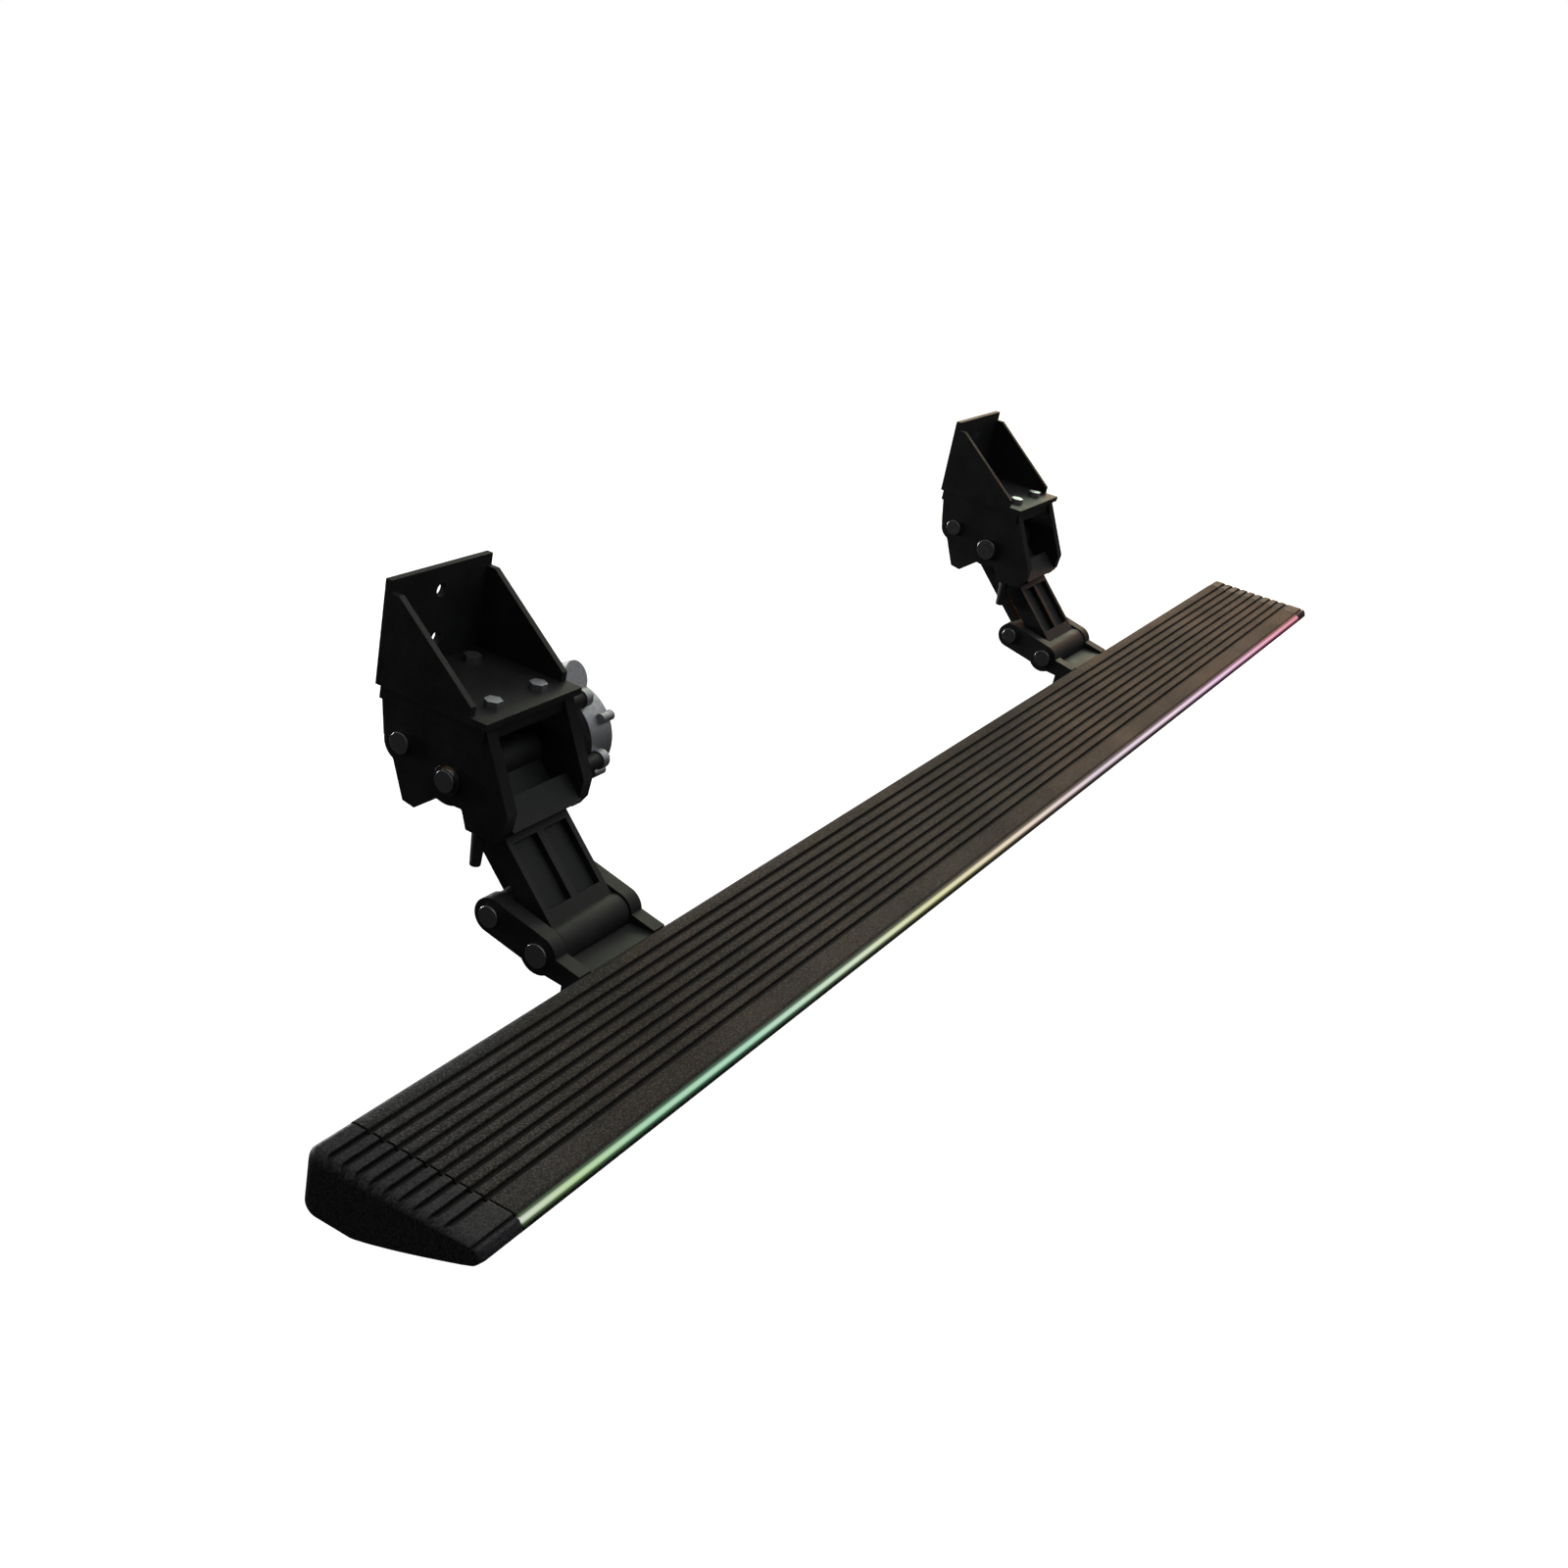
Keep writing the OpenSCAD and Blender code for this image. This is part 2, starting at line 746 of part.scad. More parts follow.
module worm_shaft()
    color([0.6, 0.6, 0.62])
        on_worm() {
            worm_thread();
            translate([0, 0, -14.5]) cylinder(h = 29, r = worm_pitch_r - tooth_ded);
            translate([0, 0, -27]) cylinder(h = can_t0 + can_len + 19, r = 4);
        }

module armature()
    color([0.55, 0.32, 0.15])
        on_worm()
            difference() {
                union() {
                    translate([0, 0, 66]) cylinder(h = 36, r = 18.5);
                    translate([0, 0, 60]) cylinder(h = 48, r = 15.5);
                }
                cylinder(h = 150, r = 4 + fit_gap);
                for (a = [0:36:359])
                    rotate(a) translate([16.6, -1, 65]) cube([3, 2, 38]);
            }

module commutator()
    color([0.72, 0.42, 0.22])
        on_worm()
            difference() {
                translate([0, 0, 46]) cylinder(h = 11, r = 9);
                cylinder(h = 100, r = 4 + fit_gap);
                for (a = [0:36:359])
                    rotate(a) translate([8.2, -0.3, 45]) cube([2, 0.6, 13]);
            }

module gearbox_housing()
    color([0.45, 0.46, 0.48])
        difference() {
            union() {
                translate([left_x, 0, 0]) {
                    bar_x(pivot_a, box_r, box_x0, box_x1);
                    for (a = box_bolt_angles)
                        bar_x(pivot_a + polar(box_bolt_r, a), 8, box_x0, box_x0 + 8);
                    for (a = cover_screw_angles)
                        bar_x(pivot_a + polar(cover_screw_r, a), 4.5, box_x1 - 12, box_x1);
                }
                on_worm() {
                    translate([0, 0, -31]) cylinder(h = flange_t0 + 31, r = tunnel_r);
                    translate([0, 0, flange_t0]) cylinder(h = 5, r = can_r + 2);
                }
            }
            translate([left_x, 0, 0]) {
                bar_x(pivot_a, box_r - box_wall, box_x0 + box_wall, box_x1 + 1);
                bar_x(pivot_a, shaft_r + 0.2, box_x0 - 1, box_x1);
                for (a = box_bolt_angles)
                    bar_x(pivot_a + polar(box_bolt_r, a), 3.3, box_x0 - 1, box_x0 + 10);
                for (a = cover_screw_angles)
                    bar_x(pivot_a + polar(cover_screw_r, a), 1.5 + fit_gap, box_x1 - 9, box_x1 + 1);
            }
            on_worm() {
                translate([0, 0, -27.5]) cylinder(h = flange_t0 + 33, r = tunnel_bore);
                motor_screw_places() translate([0, 0, -12]) cylinder(h = 20, r = 2 + fit_gap);
            }
        }

// The cover is notched where the worm's tunnel stands out of the box
module gearbox_cover()
    color([0.42, 0.43, 0.45])
        difference() {
            translate([left_x, 0, 0]) {
                bar_x(pivot_a, box_r, box_x1, box_x1 + cover_t);
                bar_x(pivot_a, 14, box_x1, box_x1 + cover_t + 3);
                for (a = cover_screw_angles)
                    bar_x(pivot_a + polar(cover_screw_r, a), 4.5, box_x1, box_x1 + cover_t);
            }
            translate([left_x, 0, 0])
                for (a = cover_screw_angles)
                    bar_x(pivot_a + polar(cover_screw_r, a), 1.7, box_x1 - 1, box_x1 + 9);
            on_worm() {
                translate([0, 0, -60]) cylinder(h = 120, r = tunnel_r + 0.2);
                translate([0, 0, flange_t0 - 0.2]) cylinder(h = 40, r = can_r + 2.2);
            }
        }

module gearbox_screws()
    color([0.6, 0.6, 0.62])
        translate([left_x, 0, 0])
            for (a = cover_screw_angles) {
                bar_x(pivot_a + polar(cover_screw_r, a), 1.5, box_x1 - 8, box_x1 + cover_t + 0.5);
                bar_x(pivot_a + polar(cover_screw_r, a), 3, box_x1 + cover_t, box_x1 + cover_t + 2.2);
            }

module gearbox_bolts()
    color([0.6, 0.6, 0.62])
        translate([left_x, 0, 0])
            for (a = box_bolt_angles) {
                bar_x(pivot_a + polar(box_bolt_r, a), 3, cheek_in + 9, box_x0 + 9);
                translate([box_x0 + 8, pivot_a[0] + box_bolt_r * cos(a), pivot_a[1] + box_bolt_r * sin(a)])
                    rotate([0, 90, 0]) cylinder(h = 4, r = 5.8, $fn = 6);
            }

// Two long screws hold the can to the gearbox flange
module motor_screw_places()
    for (s = [-1, 1])
        rotate(s * 90 + 35) translate([24.2, 0, flange_t0]) children();

module motor_can()
    color([0.12, 0.12, 0.13])
        on_worm()
            difference() {
                union() {
                    translate([0, 0, can_t0]) cylinder(h = can_len, r = can_r);
                    translate([0, 0, can_t0 + can_len]) cylinder(h = 5, r = 11);
                }
                translate([0, 0, can_t0 - 1]) cylinder(h = can_len - 1, r = can_r - 2);
                translate([0, 0, can_t0]) cylinder(h = can_len + 3, r = 8 + fit_gap);
                translate([0, 0, socket_t]) rotate([0, 90, 0]) cylinder(h = 40, r = 7 + fit_gap);
                motor_screw_places() cylinder(h = 150, r = 2.2);
            }

module motor_magnets()
    color([0.2, 0.2, 0.22])
        on_worm()
            difference() {
                translate([0, 0, 62]) cylinder(h = 46, r = can_r - 2 - fit_gap);
                translate([0, 0, 61]) cylinder(h = 48, r = 19.4);
                for (a = [35, 125])
                    rotate(a) translate([-40, -9, 61]) cube([80, 18, 48]);
            }

module motor_brushes()
    color([0.25, 0.2, 0.15])
        on_worm()
            difference() {
                union() {
                    difference() {
                        translate([0, 0, can_t0 + 0.2]) cylinder(h = 2.2, r = can_r - 2.2);
                        cylinder(h = 60, r = 5);
                    }
                    for (s = [-1, 1])
                        translate([s * 15 - 5.6, -3, can_t0 + 2]) cube([11.2, 6, 10]);
                }
                translate([0, 0, can_t0 + 2.6]) cylinder(h = 20, r = 9 + 0.15);
                motor_screw_places() cylinder(h = 150, r = 2.2);
            }

module motor_bearings()
    color([0.7, 0.7, 0.72])
        on_worm()
            for (b = [[-26.5, tunnel_bore], [18, tunnel_bore], [can_t0 + can_len - 4, 8]])
                translate([0, 0, b[0]])
                    difference() {
                        cylinder(h = 6.5, r = b[1] - fit_gap);
                        translate([0, 0, -1]) cylinder(h = 9, r = 4 + run_gap);
                    }

module motor_socket()
    color([0.06, 0.06, 0.06])
        on_worm()
            translate([can_r - 2.5, 0, socket_t])
                rotate([0, 90, 0])
                    difference() {
                        union() {
                            cylinder(h = 6, r = 7);
                            translate([0, 0, 3]) cylinder(h = 20, r = 10);
                            translate([-2.5, -11.6, 12]) cube([5, 3, 8]);
                        }
                        translate([0, 0, 7]) cylinder(h = 20, r = 8);
                        for (a = [0:120:359])
                            rotate(a) translate([4, 0, -1]) cylinder(h = 20, r = 1 + fit_gap);
                    }

module socket_pins()
    color([0.8, 0.65, 0.3])
        on_worm()
            translate([can_r - 2.5, 0, socket_t])
                rotate([0, 90, 0])
                    for (a = [0:120:359])
                        rotate(a) translate([4, 0, 1]) cylinder(h = 12, r = 1);

module motor_screws()
    color([0.6, 0.6, 0.62])
        on_worm()
            motor_screw_places() {
                translate([0, 0, -4]) cylinder(h = can_len + 9.5, r = 2);
                translate([0, 0, can_len + 5]) cylinder(h = 3, r = 3.8);
            }

// ------------------------------------------------------------------ nodes

step_board();
end_cap(-1);  // left_end_cap
end_cap(1);  // right_end_cap
end_cap_screws();
light_lens();
light_circuit();
light_diodes();
light_cable_gland();
foot(left_x);  // left_foot
foot(right_x);  // right_foot
foot_bolts(left_x);  // left_foot_bolts
foot_bolts(right_x);  // right_foot_bolts
foot_pins(left_x);  // left_foot_pins
foot_pins(right_x);  // right_foot_pins
foot_clips(left_x);  // left_foot_clips
foot_clips(right_x);  // right_foot_clips
hanger(left_x);  // left_hanger
hanger(right_x);  // right_hanger
hanger_bolts(left_x);  // left_hanger_bolts
hanger_bolts(right_x);  // right_hanger_bolts
base(left_x, true);  // left_base
base(right_x, false);  // right_base
base_bushes(left_x);  // left_base_bushes
base_bushes(right_x);  // right_base_bushes
link_pin(left_x);  // left_link_pin
link_pin(right_x);  // right_link_pin
link_clip(left_x);  // left_link_clip
link_clip(right_x);  // right_link_clip
lowered_stop(left_x);  // left_lowered_stop
lowered_stop(right_x);  // right_lowered_stop
raised_bumpers(left_x);  // left_raised_bumpers
raised_bumpers(right_x);  // right_raised_bumpers
driven_arm();  // left_arm
arm(right_x);  // right_arm
arm_bushes(left_x);  // left_arm_bushes
arm_bushes(right_x);  // right_arm_bushes
drive_shaft();
shaft_keys();
drive_shaft_clip();
worm_wheel();
right_arm_pin();
right_arm_clip();
link(left_x);  // left_link
link(right_x);  // right_link
link_bushes(left_x);  // left_link_bushes
link_bushes(right_x);  // right_link_bushes
gearbox_housing();
gearbox_cover();
gearbox_screws();
gearbox_bolts();
motor_can();
motor_magnets();
motor_brushes();
motor_bearings();
motor_socket();
socket_pins();
motor_screws();
worm_shaft();
armature();
commutator();
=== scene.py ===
import json
import math

import bmesh
import bpy
from mathutils import Matrix, Vector


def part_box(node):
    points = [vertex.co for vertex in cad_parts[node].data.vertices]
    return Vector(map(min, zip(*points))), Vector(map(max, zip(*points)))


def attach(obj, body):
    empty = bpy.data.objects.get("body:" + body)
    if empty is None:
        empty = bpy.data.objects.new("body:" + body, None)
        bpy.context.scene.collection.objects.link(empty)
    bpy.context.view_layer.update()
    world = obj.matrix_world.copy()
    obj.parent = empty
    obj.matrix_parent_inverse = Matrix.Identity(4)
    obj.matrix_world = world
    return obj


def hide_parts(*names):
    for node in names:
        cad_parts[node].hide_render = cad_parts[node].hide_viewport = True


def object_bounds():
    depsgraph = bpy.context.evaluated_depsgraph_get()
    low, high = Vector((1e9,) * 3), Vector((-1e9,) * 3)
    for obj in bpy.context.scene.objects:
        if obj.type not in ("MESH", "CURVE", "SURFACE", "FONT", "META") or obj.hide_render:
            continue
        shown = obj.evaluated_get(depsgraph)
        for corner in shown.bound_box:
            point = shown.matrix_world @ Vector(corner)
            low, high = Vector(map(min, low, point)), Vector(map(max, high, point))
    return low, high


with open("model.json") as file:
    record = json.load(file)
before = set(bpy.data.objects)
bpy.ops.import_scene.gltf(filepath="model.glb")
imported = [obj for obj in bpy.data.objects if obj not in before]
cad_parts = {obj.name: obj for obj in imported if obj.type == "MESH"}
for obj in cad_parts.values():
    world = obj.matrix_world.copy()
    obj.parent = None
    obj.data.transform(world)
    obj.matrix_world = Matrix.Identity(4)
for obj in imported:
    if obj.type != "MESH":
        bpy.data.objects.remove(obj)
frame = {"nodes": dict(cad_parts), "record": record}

cad_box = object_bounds()

# ------------------------------------------------------------------ sizes
# The board's place in the frame, in metres
MM = 0.001
BOARD_LOW, BOARD_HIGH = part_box("step_board")
REAR_Y = BOARD_HIGH.y
TOP_Z = BOARD_HIGH.z
X0, X1 = BOARD_LOW.x, BOARD_HIGH.x
CAP_END_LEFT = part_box("left_end_cap")[0].x
CAP_LEN = (X0 - CAP_END_LEFT) / MM

# The board's section, in millimetres: u goes forward from its rear face, and z up from its tread
TREAD_W = 132.0
BOARD_T = 51.0
FLAT_W = 40.0
NOSE_TIP = 142.0
NOSE_LOW = 15.0
LOW_END = NOSE_TIP - 5.0
LOW_BEND = 1.2

# The tread's grooves
GROOVE_COUNT = 9
FIRST_GROOVE = 17.0
GROOVE_PITCH = 11.8
GROOVES = [FIRST_GROOVE + GROOVE_PITCH * i for i in range(GROOVE_COUNT)]
GROOVE_HALF = 2.1
GROOVE_D = 2.6

# The closed chambers: walls above and below them, and where each starts and ends
SKIN = 5.6
WALL = 3.2
REAR_CHAMBER = (17.0, 46.0)
REAR_CHAMBER_LOW = -37.0
FRONT_CHAMBERS = ((50.0, 92.0), (96.0, 127.0))

# The T-slots in the underside and the rear face
LOW_SLOT_U = 30.0
REAR_SLOT_Z = -26.0
SLOT_MOUTH = 4.5
SLOT_WIDE = 8.5
SLOT_DEEP = 11.0
SLOT_LIP = 3.0

# The light's channel, across its sloping face, and its lens
LIGHT_MID = (TREAD_W + 6.0, -3.2)
LIGHT_HALF = 4.0
LIGHT_DEPTH = 5.0
LENS_HALF = 3.92
LENS_RISE = 1.0
LENS_FOOT = -2.0
LENS_END_GAP = 0.4

# The end caps: straight length, how far they turn in at the end, and the gap at the board
CAP_STRAIGHT = 33.0
CAP_ROUND = 8.0
SEAM = 1.5

# Colours of the light's bright core and of its rim, by share of its length from the left end
GLOW_CORE = [
    (0.00, (0.56, 0.62, 0.50)),
    (0.03, (0.44, 0.60, 0.32)),
    (0.07, (0.36, 0.60, 0.40)),
    (0.15, (0.37, 0.62, 0.46)),
    (0.24, (0.58, 0.68, 0.50)),
    (0.32, (0.64, 0.64, 0.36)),
    (0.42, (0.74, 0.62, 0.48)),
    (0.55, (0.66, 0.56, 0.64)),
    (0.68, (0.76, 0.62, 0.68)),
    (0.80, (0.74, 0.54, 0.70)),
    (0.90, (0.72, 0.40, 0.50)),
    (1.00, (0.66, 0.28, 0.36)),
]
GLOW_RIM = [
    (0.00, (0.015, 0.040, 0.003)),
    (0.12, (0.005, 0.045, 0.020)),
    (0.22, (0.015, 0.040, 0.015)),
    (0.34, (0.045, 0.040, 0.010)),
    (0.48, (0.060, 0.040, 0.018)),
    (0.62, (0.070, 0.040, 0.060)),
    (0.78, (0.110, 0.040, 0.100)),
    (0.90, (0.180, 0.020, 0.070)),
    (1.00, (0.190, 0.010, 0.030)),
]


# ------------------------------------------------------------------ materials
def material(name):
    mat = bpy.data.materials.new(name)
    mat.use_nodes = True
    tree = mat.node_tree
    shader = tree.nodes["Principled BSDF"]
    return mat, tree, shader


def node(tree, kind, **inputs):
    made = tree.nodes.new(kind)
    for key, value in inputs.items():
        made.inputs[key.replace("_", " ")].default_value = value
    return made


def place(tree):
    """The object's own coordinates, in metres, which stay with the surface in every pose."""
    return tree.nodes.new("ShaderNodeTexCoord").outputs["Object"]


def noise(tree, scale, detail=3.0, rough=0.55, stretch=None):
    made = node(tree, "ShaderNodeTexNoise", Scale=scale, Detail=detail, Roughness=rough)
    source = place(tree)
    if stretch:
        mapping = tree.nodes.new("ShaderNodeMapping")
        mapping.inputs["Scale"].default_value = stretch
        tree.links.new(source, mapping.inputs["Vector"])
        source = mapping.outputs["Vector"]
    tree.links.new(source, made.inputs["Vector"])
    return made.outputs["Fac"]


def ramp(tree, source, stops):
    made = tree.nodes.new("ShaderNodeValToRGB")
    while len(made.color_ramp.elements) < len(stops):
        made.color_ramp.elements.new(0.5)
    for element, (at, colour) in zip(made.color_ramp.elements, stops):
        element.position = at
        element.color = (*colour, 1.0)
    tree.links.new(source, made.inputs["Fac"])
    return made.outputs["Color"]


def grey(value):
    return (value, value, value)


def bump(tree, shader, layers):
    """Adds bump layers, each (height output, strength, distance in metres)."""
    normal = None
    for height, strength, distance in layers:
        made = node(tree, "ShaderNodeBump", Strength=strength, Distance=distance)
        tree.links.new(height, made.inputs["Height"])
        if normal:
            tree.links.new(normal, made.inputs["Normal"])
        normal = made.outputs["Normal"]
    tree.links.new(normal, shader.inputs["Normal"])


def painted_groove_shade(tree, colour):
    """Paints shade into a colour, darker toward the bottom of the tread's grooves."""
    groove_shade_amount = tree.nodes.new("ShaderNodeAttribute")
    groove_shade_amount.attribute_name = "groove_shade_amount"
    # Painted shade: full colour on the tread's face, down to 8 percent at a groove's bottom
    shade = ramp(tree, groove_shade_amount.outputs["Fac"], [(0.0, grey(1.0)), (0.4, grey(0.25)), (1.0, grey(0.08))])
    mix = tree.nodes.new("ShaderNodeMix")
    mix.data_type = "RGBA"
    mix.blend_type = "MULTIPLY"
    mix.inputs["Factor"].default_value = 1.0
    tree.links.new(colour, mix.inputs["A"])
    tree.links.new(shade, mix.inputs["B"])
    return mix.outputs["Result"]


def powder_coat():
    """Matt black coat with a fine, speckled grain, and painted shade toward the bottom of its grooves."""
    mat, tree, shader = material("powder_coat")
    shader.inputs["Specular IOR Level"].default_value = 0.17
    grain = noise(tree, 620.0, 4.0, 0.7)
    cloud = noise(tree, 9.0, 3.0, 0.5)
    specks = [(0.38, grey(0.001)), (0.50, grey(0.012)), (0.64, (0.062, 0.062, 0.060))]
    colour = ramp(tree, grain, specks)
    tree.links.new(painted_groove_shade(tree, colour), shader.inputs["Base Color"])
    tree.links.new(ramp(tree, cloud, [(0.3, grey(0.50)), (0.7, grey(0.62))]), shader.inputs["Roughness"])
    bump(tree, shader, [(noise(tree, 1500.0, 2.0, 0.6), 0.55, 0.0004), (grain, 0.8, 0.0012)])
    return mat


def moulded_plastic(name, colour, roughness, specular=0.5, scale=30.0, darkest=0.75):
    """Plastic mottled between its colour and a darker share of it, with painted shade where a piece marks
    its groove bottoms.
    """
    mat, tree, shader = material(name)
    shader.inputs["Specular IOR Level"].default_value = specular
    cloud = noise(tree, scale, 4.0, 0.6)
    dark = tuple(c * darkest for c in colour)
    mottled = ramp(tree, cloud, [(0.35, dark), (0.65, colour)])
    tree.links.new(painted_groove_shade(tree, mottled), shader.inputs["Base Color"])
    tree.links.new(
        ramp(tree, noise(tree, 60.0), [(0.3, grey(roughness - 0.05)), (0.7, grey(roughness + 0.07))]),
        shader.inputs["Roughness"],
    )
    bump(tree, shader, [(noise(tree, 2200.0, 2.0, 0.5), 0.25, 0.0002)])
    return mat


def cast_coat(name, tone):
    """Black coat over a sand-textured casting, rubbed a little paler in patches."""
    mat, tree, shader = material(name)
    shader.inputs["Specular IOR Level"].default_value = 0.22
    patches = noise(tree, 26.0, 5.0, 0.65)
    colour = ramp(tree, patches, [(0.35, grey(tone * 0.7)), (0.6, grey(tone)), (0.8, grey(tone * 1.7))])
    tree.links.new(colour, shader.inputs["Base Color"])
    tree.links.new(ramp(tree, patches, [(0.3, grey(0.42)), (0.75, grey(0.6))]), shader.inputs["Roughness"])
    bump(tree, shader, [(noise(tree, 900.0, 3.0, 0.6), 0.35, 0.0004), (noise(tree, 70.0), 0.2, 0.0008)])
    return mat


def metal(name, colour, roughness, stretch=(1.0, 1.0, 1.0), scale=500.0):
    mat, tree, shader = material(name)
    shader.inputs["Metallic"].default_value = 1.0
    streaks = noise(tree, scale, 4.0, 0.6, stretch)
    tint = tuple(c * 0.72 for c in colour)
    tree.links.new(ramp(tree, streaks, [(0.3, tint), (0.65, colour)]), shader.inputs["Base Color"])
    tree.links.new(
        ramp(tree, streaks, [(0.3, grey(roughness + 0.1)), (0.7, grey(roughness - 0.06))]),
        shader.inputs["Roughness"],
    )
    bump(tree, shader, [(streaks, 0.15, 0.0002)])
    return mat


def rubber():
    mat, tree, shader = material("rubber")
    tree.links.new(
        ramp(tree, noise(tree, 120.0, 4.0), [(0.3, grey(0.010)), (0.7, grey(0.022))]),
        shader.inputs["Base Color"],
    )
    shader.inputs["Roughness"].default_value = 0.8
    bump(tree, shader, [(noise(tree, 1300.0, 3.0), 0.4, 0.0003)])
    return mat


def share_along_board(tree):
    """0 at the left end of the extrusion and 1 at its right end."""
    split = tree.nodes.new("ShaderNodeSeparateXYZ")
    tree.links.new(place(tree), split.inputs[0])
    share = tree.nodes.new("ShaderNodeMapRange")
    share.inputs["From Min"].default_value = X0
    share.inputs["From Max"].default_value = X1
    tree.links.new(split.outputs["X"], share.inputs["Value"])
    return share.outputs["Result"]


# Share of the core's colour, from the lower rim of the lens to the upper one
CORE_SHARE = [
    (0.0, 0.0), (0.17, 0.05), (0.34, 0.82), (0.5, 1.0), (0.66, 0.82), (0.83, 0.05), (1.0, 0.0),
]


def lit_lens():
    """Milky diffuser, lit in a colour that changes along the board and fades toward its rims."""
    mat, tree, shader = material("lit_lens")
    share = share_along_board(tree)
    shader.inputs["Base Color"].default_value = (0.03, 0.03, 0.03, 1.0)
    shader.inputs["Roughness"].default_value = 0.3
    shader.inputs["Specular IOR Level"].default_value = 0.3
    shader.inputs["Emission Strength"].default_value = 1.12
    split = tree.nodes.new("ShaderNodeSeparateXYZ")
    tree.links.new(place(tree), split.inputs[0])
    across = tree.nodes.new("ShaderNodeMath")
    across.operation = "ADD"
    tree.links.new(split.outputs["Z"], across.inputs[0])
    tree.links.new(split.outputs["Y"], across.inputs[1])
    middle = (TOP_Z + LIGHT_MID[1] * MM) + (REAR_Y - LIGHT_MID[0] * MM)
    half = math.sqrt(2) * LIGHT_HALF * MM
    core = tree.nodes.new("ShaderNodeMapRange")
    core.inputs["From Min"].default_value = middle - half
    core.inputs["From Max"].default_value = middle + half
    tree.links.new(across.outputs[0], core.inputs["Value"])
    power = ramp(tree, core.outputs["Result"], [(at, grey(value)) for at, value in CORE_SHARE])
    mix = tree.nodes.new("ShaderNodeMix")
    mix.data_type = "RGBA"
    tree.links.new(power, mix.inputs["Factor"])
    tree.links.new(ramp(tree, share, GLOW_RIM), mix.inputs["A"])
    tree.links.new(ramp(tree, share, GLOW_CORE), mix.inputs["B"])
    tree.links.new(mix.outputs["Result"], shader.inputs["Emission Color"])
    return mat


MATERIALS = {
    "powder_coat": powder_coat(),
    "cap_plastic": moulded_plastic("cap_plastic", (0.046, 0.045, 0.050), 0.48, 0.16, 620.0, 0.10),
    "light_lens": lit_lens(),
    "circuit_board": moulded_plastic("circuit_board", (0.75, 0.75, 0.70), 0.4),
    "diodes": moulded_plastic("diodes", (0.85, 0.83, 0.70), 0.2),
    "black_steel": cast_coat("black_steel", 0.015),
    "black_casting": cast_coat("black_casting", 0.017),
    "zinc_steel": metal("zinc_steel", (0.62, 0.63, 0.66), 0.34),
    "ground_steel": metal("ground_steel", (0.50, 0.51, 0.53), 0.26, (0.1, 1.0, 1.0)),
    "spring_steel": metal("spring_steel", (0.12, 0.12, 0.13), 0.42),
    "bronze": metal("bronze", (0.60, 0.40, 0.18), 0.38),
    "rubber": rubber(),
    "gearbox_alloy": metal("gearbox_alloy", (0.46, 0.47, 0.49), 0.5, scale=300.0),
    "motor_steel": cast_coat("motor_steel", 0.016),
    "magnet": cast_coat("magnet", 0.06),
    "phenolic": moulded_plastic("phenolic", (0.16, 0.08, 0.04), 0.5),
    "socket_plastic": moulded_plastic("socket_plastic", (0.02, 0.02, 0.02), 0.45),
    "contact_metal": metal("contact_metal", (0.70, 0.42, 0.22), 0.3),
    "winding": metal("winding", (0.45, 0.18, 0.07), 0.4, (1.0, 0.15, 0.15)),
}


# ------------------------------------------------------------------ mesh helpers
def at_board(x, u, z):
    """A point from its place along X in metres and its section place in millimetres."""
    return Vector((x, REAR_Y - u * MM, TOP_Z + z * MM))


def low_curve(u):
    """Height of the board's underside."""
    if u <= FLAT_W:
        return -BOARD_T
    rise = (u - FLAT_W) / (LOW_END - FLAT_W)
    return -BOARD_T + (BOARD_T - NOSE_LOW) * min(rise, 1.0) ** LOW_BEND


def rounded(corners, steps=5):
    """A closed outline through corners (u, z, radius), each turned into an arc."""
    outline = []
    count = len(corners)
    for i, (u, z, radius) in enumerate(corners):
        here = Vector((u, z))
        before = Vector(corners[i - 1][:2]) - here
        after = Vector(corners[(i + 1) % count][:2]) - here
        if radius <= 0:
            outline.append(here)
            continue
        one, two = before.normalized(), after.normalized()
        half = one.angle(two) / 2
        room = [
            side.length * (0.49 if corners[j % count][2] > 0 else 0.96)
            for side, j in ((before, i - 1), (after, i + 1))
        ]
        reach = min(radius / math.tan(half), *room)
        radius = reach * math.tan(half)
        centre = here + (one + two).normalized() * (radius / math.sin(half))
        start, end = here + one * reach - centre, here + two * reach - centre
        turn = start.angle_signed(end)
        for k in range(steps + 1):
            angle = -turn * k / steps
            outline.append(centre + Vector((
                start.x * math.cos(angle) - start.y * math.sin(angle),
                start.x * math.sin(angle) + start.y * math.cos(angle),
            )))
    return outline


def finished(name, mesh_maker, body, slot, stands_for, smooth_deg=32.0):
    """Turns a bmesh into a piece that rides on a body and stands for CAD nodes."""
    bmesh.ops.remove_doubles(mesh_maker, verts=mesh_maker.verts, dist=1e-6)
    bmesh.ops.recalc_face_normals(mesh_maker, faces=mesh_maker.faces)
    mesh = bpy.data.meshes.new(name)
    mesh_maker.to_mesh(mesh)
    mesh_maker.free()
    for face in mesh.polygons:
        face.use_smooth = True
    mesh.set_sharp_from_angle(angle=math.radians(smooth_deg))
    piece = bpy.data.objects.new(name, mesh)
    bpy.context.scene.collection.objects.link(piece)
    mesh.materials.append(MATERIALS[slot])
    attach(piece, body)
    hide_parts(*stands_for)
    return piece


def prism(maker, loops, x0, x1):
    """Extrudes a section, given as an outer loop and hole loops, between two places along X."""
    for x in (x0, x1):
        edges = []
        for loop in loops:
            ring = [maker.verts.new(at_board(x, p[0], p[1])) for p in loop]
            edges += [maker.edges.new((ring[i - 1], ring[i])) for i in range(len(ring))]
        bmesh.ops.triangle_fill(maker, use_beauty=True, edges=edges)
    for loop in loops:
        for i in range(len(loop)):
            a, b = loop[i - 1], loop[i]
            corners = [at_board(x0, *a), at_board(x0, *b), at_board(x1, *b), at_board(x1, *a)]
            maker.faces.new([maker.verts.new(c) for c in corners])


